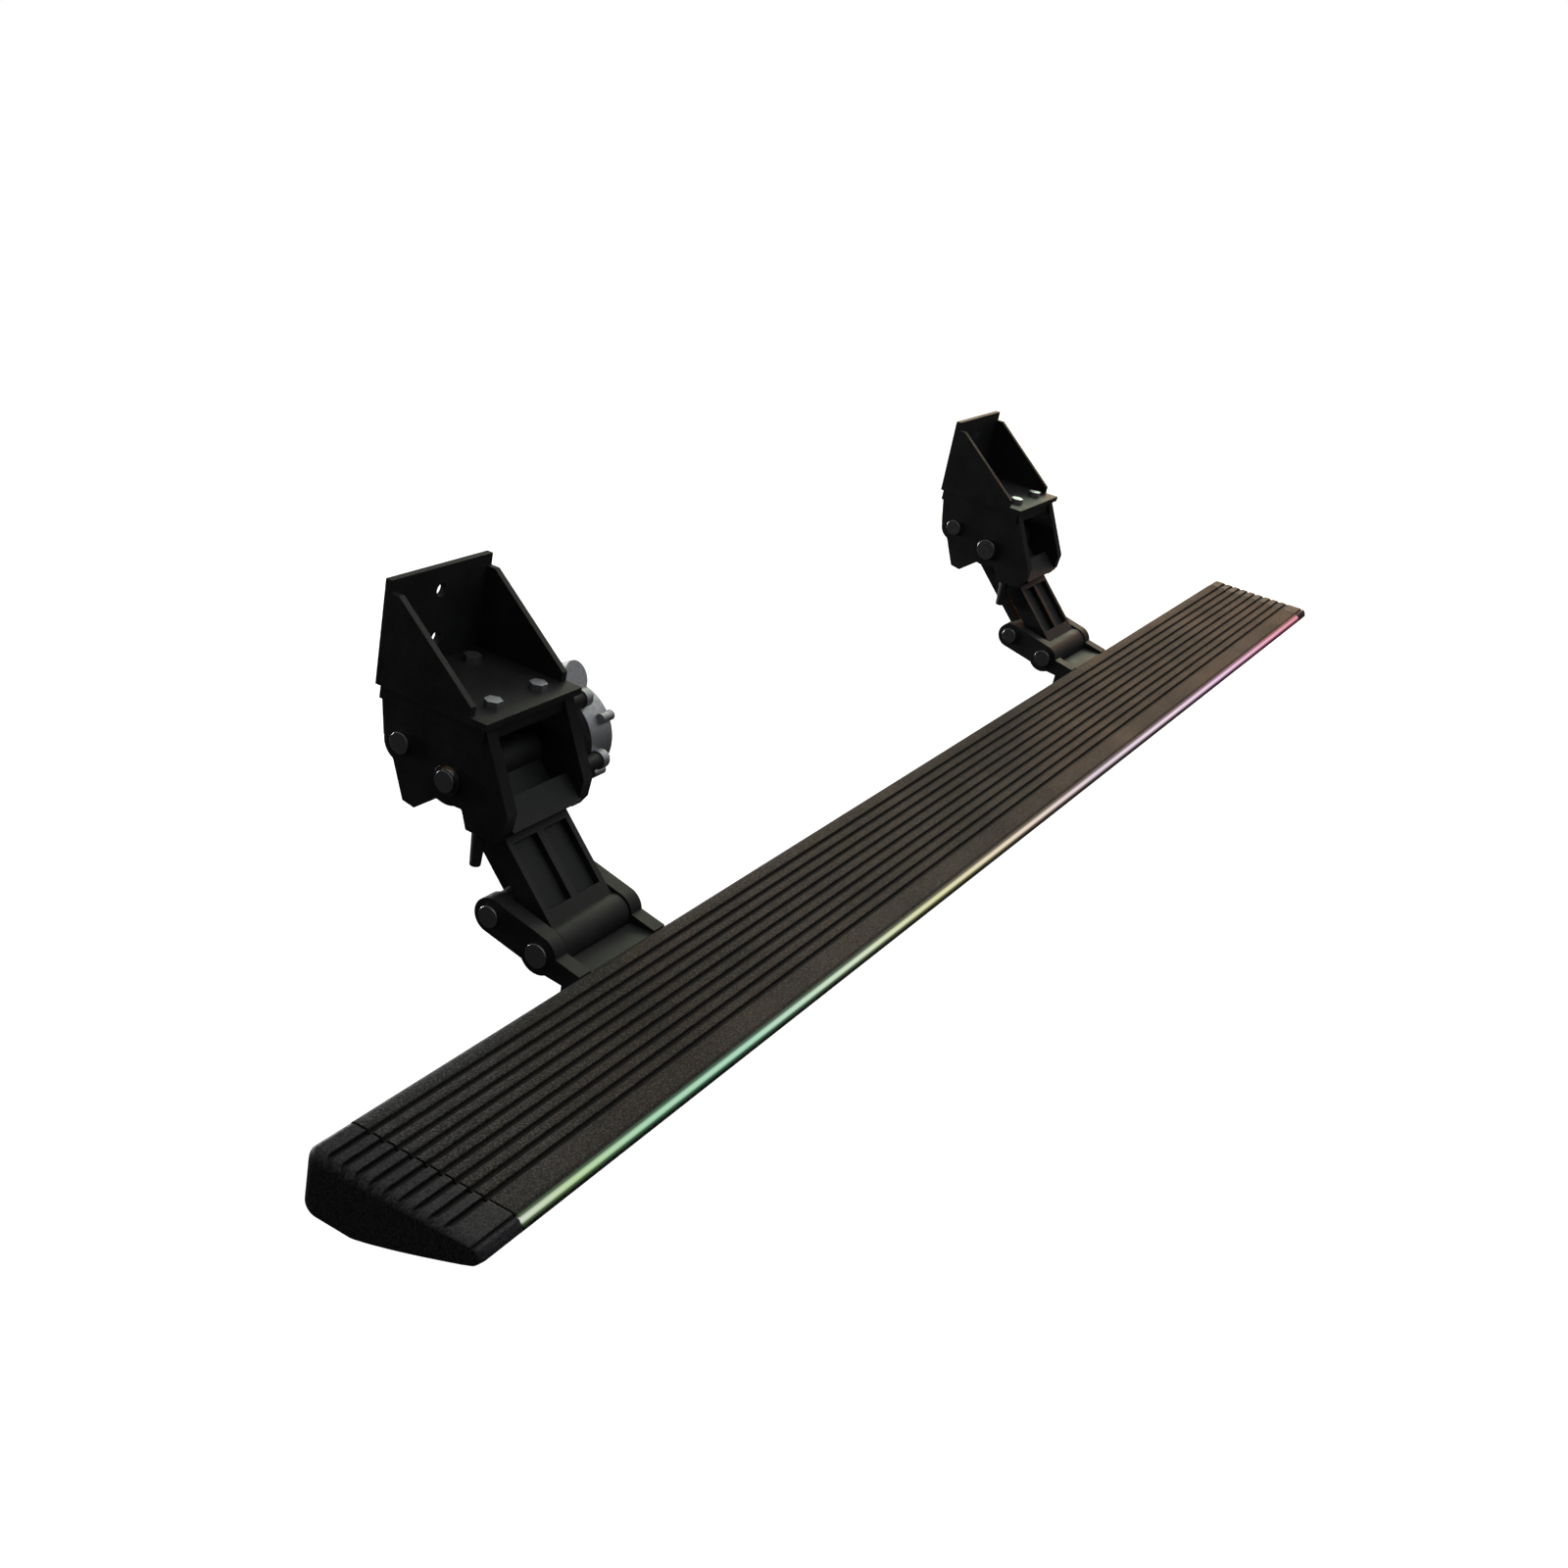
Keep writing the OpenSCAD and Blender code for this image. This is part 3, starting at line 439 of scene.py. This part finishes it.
# ------------------------------------------------------------------ step board
def light_point(along, out):
    """Section point from the light face's own axes: down the face, and out of it."""
    s = math.sqrt(0.5)
    return (LIGHT_MID[0] + (along + out) * s, LIGHT_MID[1] + (out - along) * s)


def slot_corners():
    """A T-slot's corners as (place along its face, depth into the board, radius)."""
    half = [
        (SLOT_MOUTH, 0, 0.6),
        (SLOT_MOUTH, SLOT_LIP, 0.4),
        (SLOT_WIDE, SLOT_LIP, 0.4),
        (SLOT_WIDE, SLOT_DEEP, 0.8),
    ]
    return [(-along, into, radius) for along, into, radius in half] + half[::-1]


def board_outline():
    """The extrusion's section: forward over the tread, round the nose and back along the underside."""
    corners = [(0, 0, 5)]
    for c in GROOVES:
        corners += [
            (c - GROOVE_HALF - 0.25, 0, 0.8),
            (c - GROOVE_HALF + 0.35, -GROOVE_D, 0.7),
            (c + GROOVE_HALF - 0.35, -GROOVE_D, 0.7),
            (c + GROOVE_HALF + 0.25, 0, 0.8),
        ]
    corners += [(TREAD_W, 0, 0.7), (TREAD_W + 1.5, -0.9, 0.5)]
    corners += [
        (*light_point(-LIGHT_HALF, 0.3), 0.25),
        (*light_point(-LIGHT_HALF, -LIGHT_DEPTH), 0.2),
        (*light_point(LIGHT_HALF, -LIGHT_DEPTH), 0.2),
        (*light_point(LIGHT_HALF, 0.3), 0.25),
        (NOSE_TIP, -8.2, 1.6),
        (NOSE_TIP - 2.2, -11.8, 2.0),
        (LOW_END, -NOSE_LOW, 1.0),
    ]
    first, steps = LOW_END - 4.0, 14
    underside = [first - i * (first - FLAT_W) / steps for i in range(steps + 1)]
    corners += [(u, low_curve(u), 0) for u in underside]
    corners += [(LOW_SLOT_U - along, -BOARD_T + into, radius) for along, into, radius in slot_corners()]
    corners.append((0, -BOARD_T, 7))
    corners += [(into, REAR_SLOT_Z + along, radius) for along, into, radius in slot_corners()]
    return rounded(corners)


def chamber(u0, u1, steps=6):
    """A closed chamber whose floor follows the board's underside."""
    under = [u0 + (u1 - u0) * i / steps for i in range(steps + 1)]
    corners = [(u1, -SKIN, 1.5), (u0, -SKIN, 1.5)]
    corners += [(u, low_curve(u) + WALL, 1.0) for u in under]
    return rounded(corners)


def step_board():
    maker = bmesh.new()
    rear, front = REAR_CHAMBER
    low = REAR_CHAMBER_LOW
    rear_chamber = rounded([(rear, -SKIN, 1.5), (front, -SKIN, 1.5), (front, low, 1.5), (rear, low, 1.5)])
    front_chambers = [chamber(*ends) for ends in FRONT_CHAMBERS]
    prism(maker, [board_outline(), rear_chamber] + front_chambers, X0, X1)
    # Painted shade in the tread's grooves: 0 on the tread's face, 1 at a groove's bottom, none near the
    # tread's edges
    groove_shade_amount = maker.verts.layers.float.new("groove_shade_amount")
    edge = 6.0
    for vert in maker.verts:
        depth = (TOP_Z - vert.co.z) / MM
        in_tread = edge < (REAR_Y - vert.co.y) / MM < TREAD_W - edge
        vert[groove_shade_amount] = min(1.0, depth / GROOVE_D) if in_tread and depth < GROOVE_D + 0.1 else 0.0
    finished("tread_extrusion", maker, "step", "powder_coat", ["step_board"])


# ------------------------------------------------------------------ end caps
# The cap's tread runs between its rear corner and its nose
CAP_REAR_U = 12.8
CAP_NOSE_U = 128.0
# Share of its length that the nose loses where the cap has turned in
CAP_FRONT_INSET = 0.25
# Angle of the cap's rounding, in radians, over which its grooves and their painted shade run out
GROOVE_FADE = 1.3
# Width over which a groove's shoulder falls
SHOULDER = 0.5


def groove_share(u):
    """How deep the tread is grooved at a distance from the rear face, from 0 to 1, with soft shoulders."""
    share = 0.0
    for c in GROOVES:
        inside = GROOVE_HALF + SHOULDER - abs(u - c)
        if inside > 0.0:
            share = min(1.0, inside / 0.9)
    return share


def across_marks():
    """Distances from the rear face at which the cap's tread has a line of points."""
    marks = [-GROOVE_HALF - SHOULDER, -GROOVE_HALF + 0.05, -GROOVE_HALF + 0.4, 0.0]
    across = {CAP_REAR_U, CAP_NOSE_U, 118.0, 123.0}
    for c in GROOVES:
        across |= {c + m for m in marks} | {c - m for m in marks} | {c + 4.0, c + 8.0}
    return sorted(u for u in across if CAP_REAR_U <= u <= CAP_NOSE_U)


ACROSS = across_marks()
# The nose's outline with its front groove and bead, as (u, z, radius)
CAP_NOSE = [
    (CAP_NOSE_U, 0, 0), (TREAD_W + 0.6, 0, 0.7), (TREAD_W + 1.3, -2.2, 0.5), (TREAD_W + 2.8, -2.4, 0.5),
    (TREAD_W + 3.6, -0.3, 1.0), (TREAD_W + 6.2, -1.3, 1.8), (TREAD_W + 8.4, -4.4, 1.6),
    (NOSE_TIP, -8.2, 1.8), (NOSE_TIP - 2.2, -11.6, 2.0), (LOW_END, -NOSE_LOW, 1.2),
    (CAP_NOSE_U, low_curve(CAP_NOSE_U), 0),
]


def front_groove_shade(p):
    """Painted shade: 1 in the groove between the cap's tread and its front bead, and 0 elsewhere."""
    return 1.0 if TREAD_W + 1.0 < p.x < TREAD_W + 3.2 and -4.0 < p.y < -1.0 else 0.0


def cap_section(inset):
    """Points once round the cap where its surface has turned in by a distance.

    Each has the middle point it moves toward, its groove depth from 0 to 1, and its painted shade from 0
    to 1.
    """
    turn = inset / CAP_ROUND

    def thin(u):
        return min(1.0, (-low_curve(u) / BOARD_T) ** 1.2)

    def shifted(u):
        return u + 0.8 * inset * max(0.0, 1.0 - (u - CAP_REAR_U) / 50.0)

    def point(u, z, depth):
        return Vector((shifted(u), z)), Vector((shifted(u), low_curve(u) / 2)), depth, depth

    top = [point(u, -inset * thin(u), groove_share(u)) for u in ACROSS]
    low = [point(u, low_curve(u) + inset * thin(u), 0.0) for u in reversed(ACROSS)]
    nose_mid = low_curve(CAP_NOSE_U) / 2
    shrink = 1.0 - turn * CAP_ROUND * thin(CAP_NOSE_U) / -nose_mid
    nose_middle = Vector((CAP_NOSE_U + 0.35 * (NOSE_TIP - CAP_NOSE_U), nose_mid))
    nose = []
    for p in rounded(CAP_NOSE, 4)[1:-1]:
        moved = Vector((
            CAP_NOSE_U + (p.x - CAP_NOSE_U) * (1.0 - CAP_FRONT_INSET * turn),
            nose_mid + (p.y - nose_mid) * shrink,
        ))
        nose.append((moved, nose_middle, 0.0, front_groove_shade(p)))
    first = shifted(CAP_REAR_U)
    rear = rounded([
        (first, -BOARD_T + inset, 0), (inset, -BOARD_T + inset, 9 + 0.3 * inset), (inset, -26.0, 0),
        (inset, -21.0, 0), (inset, -inset, 5.5 + 0.4 * inset), (first, -inset, 0),
    ], 8)[1:-1]
    middle = Vector((first, -BOARD_T / 2))
    return top + nose + low + [(p, middle, 0.0, 0.0) for p in rear]


def cap_rows():
    """Rows of (distance out from the seam, how far the surface has turned in, angle it has turned by)."""
    rows = [(0.0, 0.9, 0.0), (0.15, 0.40, 0.0), (0.5, 0.10, 0.0), (1.1, 0.0, 0.0)]
    broken = rows[-1][0]
    rows += [(broken + (CAP_STRAIGHT - broken) * i / 4, 0.0, 0.0) for i in range(1, 5)]
    turns = 14
    for k in range(1, turns + 1):
        angle = math.pi / 2 * k / turns
        out = (CAP_LEN - CAP_STRAIGHT) * math.sin(angle)
        rows.append((CAP_STRAIGHT + out, CAP_ROUND * (1 - math.cos(angle)), angle))
    return rows


def end_cap(side):
    """The cap at the left end (side -1) or the right end (side 1)."""
    name = "left_end_cap" if side < 0 else "right_end_cap"
    seam_x = X0 if side < 0 else X1
    rows = []
    for out, inset, angle in cap_rows():
        row = []
        # Over the rounding the grooves run out, and their painted shade fades more slowly
        kept = max(0.0, 1.0 - angle / GROOVE_FADE)
        for spot, middle, depth, shade in cap_section(inset):
            way = (middle - spot).normalized()
            sink = GROOVE_D * depth * kept
            along = out - sink * math.sin(angle)
            row.append((along, spot + way * (sink * math.cos(angle)), shade * kept ** 0.4))
        rows.append(row)
    face, middles = rows[-1], [point[1] for point in cap_section(CAP_ROUND)]
    rings_inward = 6
    for k in range(1, rings_inward + 1):
        share = k / rings_inward
        rows.append([
            (along + (CAP_LEN - along) * min(1.0, 3.0 * share), spot.lerp(middle, share), shade)
            for (along, spot, shade), middle in zip(face, middles)
        ])
    maker = bmesh.new()
    # How much painted groove shade each point of the cap gets
    groove_shade_amount = maker.verts.layers.float.new("groove_shade_amount")
    rings = []
    for row in rows:
        ring = []
        for along, spot, shade in row:
            x = seam_x + side * (SEAM + along * (CAP_LEN - SEAM) / CAP_LEN) * MM
            vert = maker.verts.new(at_board(x, *spot))
            vert[groove_shade_amount] = shade
            ring.append(vert)
        rings.append(ring)
    for ring, following in zip(rings, rings[1:]):
        for i in range(len(ring)):
            maker.faces.new((ring[i - 1], ring[i], following[i], following[i - 1]))
    edges = [maker.edges.get((rings[0][i - 1], rings[0][i])) for i in range(len(rings[0]))]
    bmesh.ops.triangle_fill(maker, use_beauty=True, edges=edges)
    finished(name + "_moulding", maker, "step", "cap_plastic", [name], 40.0)


# ------------------------------------------------------------------ light strip
def light_lens():
    """A low dome across the light's channel."""
    maker = bmesh.new()
    steps = 16
    dome = []
    for k in range(steps + 1):
        rise = LENS_RISE * math.sin(math.pi * k / steps) ** 0.8 + 0.02
        dome.append(light_point(LENS_HALF * (2 * k / steps - 1), rise))
    base = [light_point(LENS_HALF, LENS_FOOT), light_point(-LENS_HALF, LENS_FOOT)]
    gap = LENS_END_GAP * MM
    prism(maker, [[Vector(p) for p in dome + base]], X0 + gap, X1 - gap)
    finished("light_diffuser", maker, "step", "light_lens", ["light_lens"])


# ------------------------------------------------------------------ CAD nodes that stay
# Width of a broken edge in metres, the turn that makes an edge sharp, and the turn that is still flat
EDGE_BREAK = 0.0007
SHARP_LIMIT = math.radians(35.0)
FLAT_LIMIT = math.radians(0.2)
# Nodes whose detail is too fine for broken edges
UNBROKEN = {"worm_shaft", "light_diodes", "light_circuit"}
# Its flat faces stay in triangles, because merging them leaves open edges
FLATS_KEPT = {"gearbox_housing"}


def finish_cad_nodes():
    """Gives each CAD node that is still shown its material, broken edges and smooth curves."""
    slot_of = {s["node"]: s["material_slot"] for s in frame["record"]["subparts"]}
    for name, obj in frame["nodes"].items():
        if obj.hide_render:
            continue
        obj.data.materials.clear()
        obj.data.materials.append(MATERIALS[slot_of[name]])
        weld = obj.modifiers.new("weld", "WELD")
        weld.merge_threshold = 1e-6
        if name in UNBROKEN:
            continue
        if name not in FLATS_KEPT:
            flats = obj.modifiers.new("flats", "DECIMATE")
            flats.decimate_type = "DISSOLVE"
            flats.angle_limit = FLAT_LIMIT
        edges = obj.modifiers.new("edges", "BEVEL")
        edges.width = EDGE_BREAK
        edges.segments = 2
        edges.limit_method = "ANGLE"
        edges.angle_limit = SHARP_LIMIT
        shading = obj.modifiers.new("shading", "WEIGHTED_NORMAL")
        shading.weight = 100
        shading.thresh = 0.5
        for face in obj.data.polygons:
            face.use_smooth = True


# ------------------------------------------------------------------ stage, lights, camera
# Sizes in metres
FLOOR_DROP = 0.35
FLOOR_RADIUS = 18.0
FLOOR_TONE = 0.60
FLOOR_GLOW = 0.74
BACKDROP_RADIUS = 19.0

# Name, place, point it is aimed at, size, watts and colour, in metres
BOARD_MIDDLE = (0.1, -0.25, -0.2)
LAMPS = [
    ("key", (0.6, -1.8, 2.6), BOARD_MIDDLE, (2.6, 1.4), 12.0, (0.78, 0.90, 1.0)),
    ("back", (0.5, 3.4, -0.2), BOARD_MIDDLE, (3.6, 0.7), 170.0, (1.0, 1.0, 1.0)),
    ("far_fill", (3.6, 1.0, 1.5), BOARD_MIDDLE, (2.4, 0.9), 36.0, (0.86, 1.0, 0.72)),
    ("warm_end", (4.4, 0.75, 0.45), (0.9, -0.25, -0.2), (3.0, 1.2), 31.0, (1.0, 0.35, 0.13)),
]

# The sky's brightness from below to overhead, and from the left to the right
SKY_BY_HEIGHT = [(0.0, 0.05), (0.48, 0.05), (0.54, 0.16), (0.75, 0.55), (1.0, 1.0)]
SKY_ALONG_X = [(0.0, 0.25), (0.45, 0.75), (0.6, 1.0)]
SKY_STRENGTH = 0.8

CAMERA_AT = (-1.573, -0.829, 0.517)
CAMERA_AZIMUTH = math.radians(64.73)
CAMERA_ELEVATION = math.radians(24.51)
CAMERA_ROLL = math.radians(11.88)
CAMERA_LENS_MM = 41.5


def flat_mesh(name, maker, colour, glow):
    """A stage piece of one colour that also glows white by itself."""
    mesh = bpy.data.meshes.new(name)
    maker.to_mesh(mesh)
    maker.free()
    piece = bpy.data.objects.new(name, mesh)
    bpy.context.scene.collection.objects.link(piece)
    mat, _, shader = material(name)
    shader.inputs["Base Color"].default_value = (*colour, 1.0)
    shader.inputs["Roughness"].default_value = 0.9
    shader.inputs["Emission Color"].default_value = (1.0, 1.0, 1.0, 1.0)
    shader.inputs["Emission Strength"].default_value = glow
    mesh.materials.append(mat)
    return piece


def floor():
    """A pale floor well under the part, and a white backdrop round it that only the camera sees."""
    maker = bmesh.new()
    bmesh.ops.create_circle(maker, cap_ends=True, segments=96, radius=FLOOR_RADIUS)
    ground = flat_mesh("floor", maker, grey(FLOOR_TONE), FLOOR_GLOW)
    ground.location.z = cad_box[0].z - FLOOR_DROP
    ground.visible_glossy = False
    ground.visible_diffuse = False
    maker = bmesh.new()
    bmesh.ops.create_uvsphere(maker, u_segments=96, v_segments=48, radius=BACKDROP_RADIUS)
    backdrop = flat_mesh("backdrop", maker, grey(0.0), 1.0)
    backdrop.visible_diffuse = False
    backdrop.visible_glossy = False
    backdrop.visible_shadow = False


def soft_light(name, at, aim, size, power, colour):
    lamp = bpy.data.lights.new(name, "AREA")
    lamp.shape = "RECTANGLE"
    lamp.size, lamp.size_y = size
    lamp.energy = power
    lamp.color = colour
    obj = bpy.data.objects.new(name, lamp)
    obj.location = at
    obj.rotation_euler = (Vector(aim) - Vector(at)).to_track_quat("-Z", "Y").to_euler()
    obj.visible_camera = False
    bpy.context.scene.collection.objects.link(obj)


def lights():
    """Four soft lamps under a sky that is bright overhead and dims toward the horizon and the left."""
    world = bpy.data.worlds.new("studio")
    world.use_nodes = True
    tree = world.node_tree
    split = tree.nodes.new("ShaderNodeSeparateXYZ")
    tree.links.new(tree.nodes.new("ShaderNodeTexCoord").outputs["Generated"], split.inputs[0])
    parts = []
    for axis, stops in (("Z", SKY_BY_HEIGHT), ("X", SKY_ALONG_X)):
        share = tree.nodes.new("ShaderNodeMapRange")
        share.inputs["From Min"].default_value = -1.0
        tree.links.new(split.outputs[axis], share.inputs["Value"])
        parts.append(ramp(tree, share.outputs["Result"], [(at, grey(value)) for at, value in stops]))
    sky = tree.nodes.new("ShaderNodeMix")
    sky.data_type = "RGBA"
    sky.blend_type = "MULTIPLY"
    sky.inputs["Factor"].default_value = 1.0
    tree.links.new(parts[0], sky.inputs["A"])
    tree.links.new(parts[1], sky.inputs["B"])
    background = tree.nodes["Background"]
    background.inputs["Strength"].default_value = SKY_STRENGTH
    tree.links.new(sky.outputs["Result"], background.inputs["Color"])
    bpy.context.scene.world = world
    for lamp in LAMPS:
        soft_light(*lamp)


def camera():
    """Looks along the board from its left end, a little above it and rolled to the left."""
    lens = bpy.data.cameras.new("camera")
    lens.sensor_width = 36.0
    lens.lens = CAMERA_LENS_MM
    obj = bpy.data.objects.new("camera", lens)
    ahead = Vector((
        math.sin(CAMERA_AZIMUTH) * math.cos(CAMERA_ELEVATION),
        math.cos(CAMERA_AZIMUTH) * math.cos(CAMERA_ELEVATION),
        -math.sin(CAMERA_ELEVATION),
    ))
    obj.rotation_mode = "QUATERNION"
    level = ahead.to_track_quat("-Z", "Y")
    rolled = level.to_matrix().to_4x4() @ Matrix.Rotation(CAMERA_ROLL, 4, "Z")
    obj.rotation_quaternion = rolled.to_quaternion()
    obj.location = CAMERA_AT
    lens.clip_start, lens.clip_end = 0.05, 60.0
    bpy.context.scene.collection.objects.link(obj)
    bpy.context.scene.camera = obj


bpy.context.scene.view_settings.view_transform = "Standard"
camera()
step_board()
end_cap(-1)
end_cap(1)
light_lens()
finish_cad_nodes()
floor()
lights()
